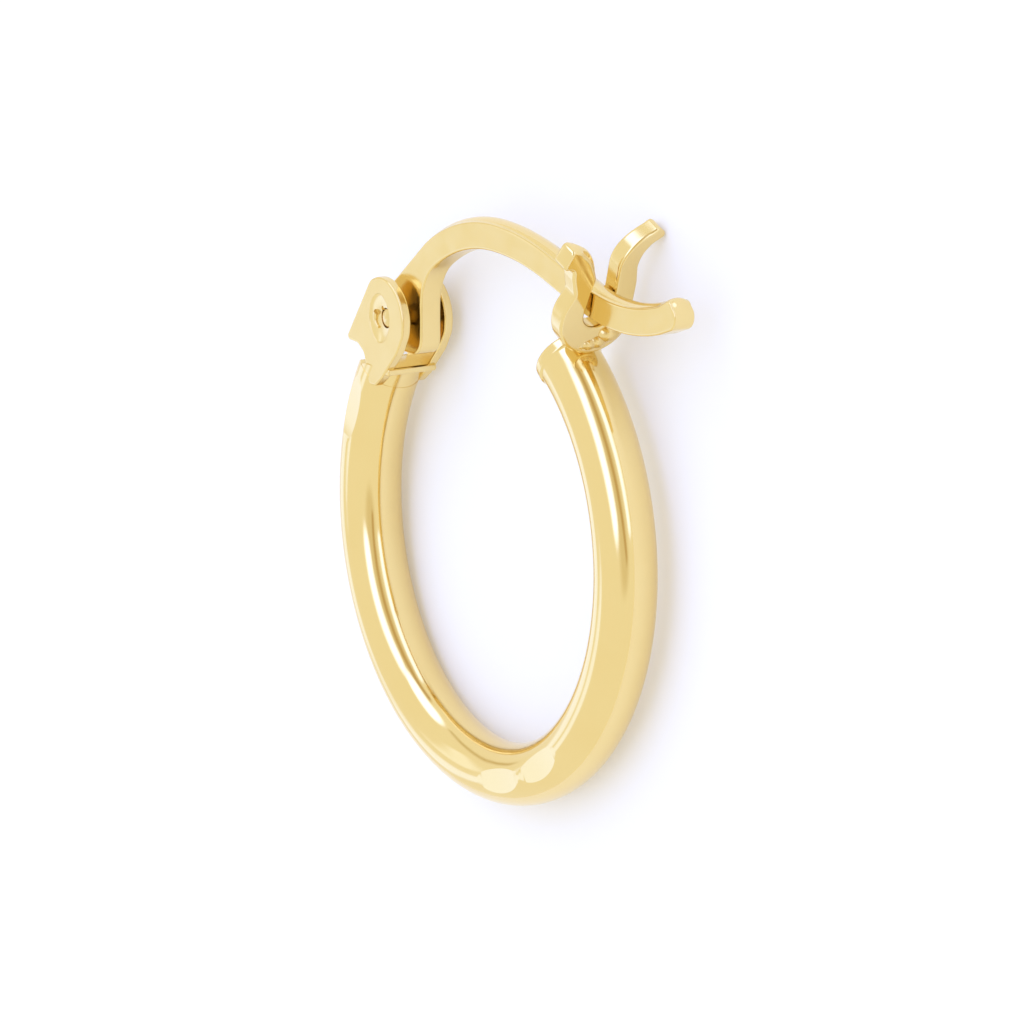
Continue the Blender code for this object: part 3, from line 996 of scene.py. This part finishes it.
    def _stub(self) -> bmesh.types.BMesh:
        """The solder that carries the tube's round form up to the floor."""
        tube = HoopTube()
        along = tube.on_ring(tube.hinge_end_deg - 90, 1.0)
        turn = along.to_track_quat("Z", "Y").to_matrix().to_4x4()
        bar = cylinder(tube.radius - self.stub_inset, -self.stub_root, self.stub_reach, tube.facets[0])
        return moved(bar, Matrix.Translation(tube.on_ring(tube.hinge_end_deg)) @ turn)

    def _above(self) -> bmesh.types.BMesh:
        """What the floor's top and the filed back leave off the stub."""
        low = [Corner(-4.0, 4.3), Corner(-6.3, 4.45), Corner(-6.6, 4.4), Corner(-8.5, 4.4)]
        high = [Corner(-8.5, 8.0), Corner(-4.0, 8.0)]
        return Plate([*low, *high], -THROUGH, THROUGH, rim=SHARP_RIM).mesh()


@dataclass
class HingePin:
    """The rivet through the ears and the wire's eye."""

    radius: float = 0.3
    reach: float = 0.91
    edge: float = 0.08
    dome: float = 0.03
    flat_share: float = 0.6
    sides: int = 64

    def build(self, bench: Bench) -> None:
        """Makes the rivet."""
        profile = [
            Corner(0.0, -self.reach - self.dome),
            Corner(self.radius * self.flat_share, -self.reach),
            Corner(self.radius, -self.reach + self.edge, turn=self.edge),
            Corner(self.radius, self.reach - self.edge, turn=self.edge),
            Corner(self.radius * self.flat_share, self.reach),
            Corner(0.0, self.reach + self.dome),
        ]
        bm = moved(turned(rounded(profile), self.sides), Matrix.Translation(PIVOT))
        bench.finish("rivet", bm, PIN_GOLD, node="hinge_pin")


@dataclass(frozen=True)
class Bend:
    """An arc of the wire's inner edge: radius, turn, and 1 to the left or -1 to the right."""

    radius: float
    turn_deg: float
    side: int


@dataclass
class SaddleWire:
    """The flat wire with a crowned outer edge, from its heel in the bracket to its tail."""

    thickness: float = 0.75
    height: float = 1.0
    crown: float = 0.2
    front_x: float = -3.9
    front_y: float = 6.6
    bends: tuple[Bend, ...] = (Bend(1.75, 57.0, -1), Bend(6.5, 33.0, -1), Bend(11.2, 16.0, -1))
    catch_straight: float = 2.0
    tail: Bend = Bend(8.5, 39.5, 1)
    heel_radius: float = 1.1
    heel_corner: float = 0.55
    tail_low: float = 0.5
    tail_high: float = 0.34
    tail_crown: float = 0.12
    rim: float = 0.07
    eye_radius: float = 0.36
    step_deg: float = 1.5

    def build(self, bench: Bench) -> None:
        """Makes the wire."""
        plate = Plate(self._outline(), -self.thickness / 2, self.thickness / 2, rim=self.rim, wall_steps=6)
        eye = moved(cylinder(self.eye_radius, -self.height, self.height), Matrix.Translation(PIVOT))
        bar = shape(plate.mesh(), [(Cut.AWAY, eye)])
        bench.finish("ear_wire_bar", bar, WIRE_GOLD, Body.WIRE, "ear_wire")

    def _walk(self, point: Vector, heading: float, bend: Bend) -> list[tuple[Vector, float]]:
        """Walks one bend from a point.

        Args:
            point: Where it starts.
            heading: The direction there, in radians.
            bend: The arc.

        Returns:
            Each point passed with the heading there.
        """
        steps = max(2, round(bend.turn_deg / self.step_deg))
        centre = point + bend.side * bend.radius * Vector((-math.sin(heading), math.cos(heading)))
        passed = []
        for i in range(1, steps + 1):
            angle = heading + bend.side * math.radians(bend.turn_deg) * i / steps
            back = bend.side * bend.radius * Vector((-math.sin(angle), math.cos(angle)))
            passed.append((centre - back, angle))
        return passed

    def _inner_edge(self) -> list[tuple[Vector, float]]:
        """The inner edge from the front of the hinge to the tail."""
        stations = [(Vector((self.front_x, self.front_y)), math.pi / 2)]
        for bend in self.bends:
            stations += self._walk(*stations[-1], bend)
        point, heading = stations[-1]
        ahead = Vector((math.cos(heading), math.sin(heading)))
        stations.append((point + self.catch_straight * ahead, heading))
        return stations + self._walk(*stations[-1], self.tail)

    def _outline(self) -> list[Corner]:
        """The wire's side view: heel, inner edge, tail and outer edge."""
        stations = self._inner_edge()
        shoulder = Vector((self.front_x + self.bends[0].radius, self.front_y))
        to_heel = PIVOT.xy - shoulder
        outer_radius = self.bends[0].radius + self.height
        lift = math.asin((outer_radius - self.heel_radius) / to_heel.length)
        tangent = math.atan2(to_heel.y, to_heel.x) % math.tau + lift - math.pi / 2
        heel = arc(PIVOT.xy, (self.heel_radius, self.heel_radius), math.degrees(tangent), 270)
        front = [Corner(self.front_x, PIVOT.y - self.heel_radius, turn=self.heel_corner)]
        end, end_heading = stations[-1]
        kept = [point for point, _ in stations if (end - point).length > 2 * self.tail_low]
        inner = [Corner(point.x, point.y) for point in kept]
        outer = []
        for point, heading in reversed(stations):
            if heading + math.pi / 2 < tangent and (end - point).length > 2 * self.tail_high:
                place = point + self.height * Vector((-math.sin(heading), math.cos(heading)))
                outer.append(Corner(place.x, place.y, crown=self.crown))
        top = end + self.height * Vector((-math.sin(end_heading), math.cos(end_heading)))
        tail = [
            Corner(end.x, end.y, turn=self.tail_low),
            Corner(top.x, top.y, turn=self.tail_high, crown=self.tail_crown),
        ]
        return heel + front + inner + tail + outer


@dataclass(frozen=True)
class Softbox:
    """A strip of light or shade round the studio, as the metal sees it.

    Attributes:
        azimuth_deg: Direction of its middle round the ring's axis, from X towards Y.
        elevation_deg: Height of its middle above the floor.
        length_deg: Its length.
        width_deg: Its width.
        roll_deg: Its turn about its middle, from level.
        edge: Softness of its edge, as a share of a radian.
        colour: Its light, which may be brighter than 1.
    """

    azimuth_deg: float
    elevation_deg: float
    length_deg: float
    width_deg: float
    roll_deg: float
    edge: float
    colour: Colour

    def axes(self) -> tuple[Vector, Vector, Vector]:
        """Its long, short and facing directions."""
        azimuth = math.radians(self.azimuth_deg)
        elevation = math.radians(self.elevation_deg)
        ahead = Vector((math.cos(azimuth), math.sin(azimuth), 0))
        level = Vector((-math.sin(azimuth), math.cos(azimuth), 0))
        facing = math.cos(elevation) * ahead + Vector((0, 0, math.sin(elevation)))
        roll = Matrix.Rotation(math.radians(self.roll_deg), 3, facing)
        return roll @ level, roll @ facing.cross(level), facing


@dataclass
class Studio:
    """Floor, soft light and camera."""

    ring: RingFrame
    sky: Colour = WHITE
    floor_colour: Colour = (0.8, 0.8, 0.8)
    floor_shade: float = 0.99
    floor_glow: float = 0.21
    floor_roughness: float = 0.9
    floor_shine: float = 0.1
    floor_size: float = 1.6
    boxes: tuple[Softbox, ...] = (
        Softbox(40.0, 36.0, 96.0, 36.0, -10.0, 0.2, (0.84, 0.78, 0.66)),
        Softbox(52.0, 30.0, 100.0, 9.0, -9.0, 0.09, (0.6, 0.45, 0.25)),
        Softbox(54.0, 55.0, 60.0, 20.0, -20.0, 0.1, (1.6, 1.95, 3.6)),
        Softbox(106.0, 30.0, 34.0, 20.0, -24.0, 0.06, (1.6, 1.95, 3.6)),
        Softbox(48.0, 9.0, 82.0, 11.0, -2.0, 0.08, (1.4, 1.7, 3.0)),
        Softbox(152.0, 21.0, 46.0, 4.0, 0.0, 0.04, (0.7, 0.6, 0.42)),
        Softbox(-156.5, 31.0, 42.0, 9.0, 90.0, 0.03, (1.15, 1.3, 1.9)),
        Softbox(-168.0, 17.0, 24.0, 12.0, 90.0, 0.03, (1.15, 1.3, 1.9)),
        Softbox(172.0, 36.0, 25.0, 8.0, 0.0, 0.04, (1.15, 1.25, 1.6)),
    )
    camera_right: tuple[float, float, float] = (0.52474, 0.0, -0.85126)
    camera_up: tuple[float, float, float] = (-0.18264, 0.97671, -0.11258)
    camera_back: tuple[float, float, float] = (0.83144, 0.21455, 0.51252)
    camera_distance: float = 327.031
    camera_aside: tuple[float, float] = (0.5203, 0.6679)
    lens: float = 364.97
    sensor: float = 36.0
    clip_start: float = 0.001

    def build(self) -> None:
        """Sets up the studio."""
        self._floor()
        self._world()
        self._camera()
        bpy.context.scene.view_settings.view_transform = "Standard"

    def _floor(self) -> None:
        """A plain pale floor under the hoop."""
        bm = bmesh.new()
        bmesh.ops.create_grid(bm, x_segments=1, y_segments=1, size=self.floor_size / 2)
        floor = new_object("floor", bm)
        floor.data.materials.append(self._floor_material())

    def _floor_material(self) -> bpy.types.Material:
        """A matt white with a faint variation."""
        made = bpy.data.materials.new("pale_floor")
        made.use_nodes = True
        tree = made.node_tree
        shader = tree.nodes["Principled BSDF"]
        shader.inputs["Roughness"].default_value = self.floor_roughness
        shader.inputs["Specular IOR Level"].default_value = self.floor_shine
        shader.inputs["Emission Color"].default_value = (*WHITE, 1.0)
        shader.inputs["Emission Strength"].default_value = self.floor_glow
        place = tree.nodes.new("ShaderNodeTexCoord").outputs["Object"]
        darker = tuple(value * self.floor_shade for value in self.floor_colour)
        tint = mix_colours(tree, FLOOR_CLOUDS.add(tree, place), self.floor_colour, darker)
        tree.links.new(tint, shader.inputs["Base Color"])
        return made

    def _world(self) -> None:
        """Even white light with the softboxes in it; seen straight on it is plain white."""
        world = bpy.data.worlds.new("studio_light")
        bpy.context.scene.world = world
        world.use_nodes = True
        tree = world.node_tree
        background = tree.nodes["Background"]
        source = tree.nodes.new("ShaderNodeTexCoord").outputs["Generated"]
        light = tree.nodes.new("ShaderNodeRGB")
        light.outputs[0].default_value = (*self.sky, 1.0)
        colour = light.outputs[0]
        for box in self.boxes:
            mask = self._mask(tree, source, box)
            colour = mix_colours(tree, mask, colour, box.colour)
        path = tree.nodes.new("ShaderNodeLightPath")
        colour = mix_colours(tree, path.outputs["Is Camera Ray"], colour, WHITE)
        tree.links.new(colour, background.inputs["Color"])

    @staticmethod
    def _math(
        tree: bpy.types.NodeTree, operation: str, *values: bpy.types.NodeSocket | float
    ) -> bpy.types.NodeSocket:
        """Adds one math node.

        Args:
            tree: The world's nodes.
            operation: What it does.
            values: Sockets or numbers that it takes.

        Returns:
            The result's socket.
        """
        node = tree.nodes.new("ShaderNodeMath")
        node.operation = operation
        for i, value in enumerate(values):
            if isinstance(value, (int, float)):
                node.inputs[i].default_value = value
            else:
                tree.links.new(value, node.inputs[i])
        return node.outputs[0]

    def _mask(
        self, tree: bpy.types.NodeTree, source: bpy.types.NodeSocket, box: Softbox
    ) -> bpy.types.NodeSocket:
        """Masks a softbox with round ends: 1 inside, 0 outside.

        Args:
            tree: The world's nodes.
            source: The direction looked at.
            box: The softbox.

        Returns:
            The mask's socket.
        """
        parts = []
        for axis in box.axes():
            dot = tree.nodes.new("ShaderNodeVectorMath")
            dot.operation = "DOT_PRODUCT"
            dot.inputs[1].default_value = self.ring.turn @ axis
            tree.links.new(source, dot.inputs[0])
            parts.append(dot.outputs["Value"])
        facing = self._math(tree, "MAXIMUM", parts[2], GRAZING)
        along = self._math(tree, "ABSOLUTE", self._math(tree, "DIVIDE", parts[0], facing))
        across = self._math(tree, "DIVIDE", parts[1], facing)
        half_width = math.tan(math.radians(box.width_deg / 2))
        straight = math.tan(math.radians(box.length_deg / 2)) - half_width
        past = self._math(tree, "MAXIMUM", self._math(tree, "SUBTRACT", along, straight), 0.0)
        squares = self._math(tree, "ADD", self._square(tree, past), self._square(tree, across))
        reach = self._math(tree, "SQRT", squares)
        span = tree.nodes.new("ShaderNodeMapRange")
        span.interpolation_type = "SMOOTHSTEP"
        span.inputs["From Min"].default_value = half_width + box.edge
        span.inputs["From Max"].default_value = half_width - box.edge
        tree.links.new(reach, span.inputs["Value"])
        ahead = self._math(tree, "GREATER_THAN", parts[2], 0.0)
        return self._math(tree, "MULTIPLY", span.outputs["Result"], ahead)

    def _square(self, tree: bpy.types.NodeTree, value: bpy.types.NodeSocket) -> bpy.types.NodeSocket:
        """A value times itself."""
        return self._math(tree, "MULTIPLY", value, value)

    def _camera(self) -> None:
        """The camera at the photograph's angle to the hoop."""
        data = bpy.data.cameras.new("camera")
        data.lens = self.lens
        data.sensor_width = self.sensor
        data.clip_start = self.clip_start
        camera = bpy.data.objects.new("camera", data)
        bpy.context.scene.collection.objects.link(camera)
        right, up, back = (Vector(axis) for axis in (self.camera_right, self.camera_up, self.camera_back))
        place = (self.camera_distance * back + self.camera_aside[0] * right + self.camera_aside[1] * up) * MM
        turn = Matrix((right, up, back)).transposed().to_4x4()
        camera.matrix_world = self.ring.rigid() @ Matrix.Translation(place) @ turn
        bpy.context.scene.camera = camera


def main() -> None:
    """Builds the pieces in order."""
    logging.basicConfig(level=logging.INFO, format="%(message)s")
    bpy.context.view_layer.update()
    ring = RingFrame.from_joint(frame["joints"][0])
    bench = Bench(ring)
    Studio(ring).build()
    tube = HoopTube()
    for part in (tube, EndCap(tube), ForkCatch(), HingeBracket(), HingePin(), SaddleWire()):
        part.build(bench)


if __name__ == "__main__":
    main()
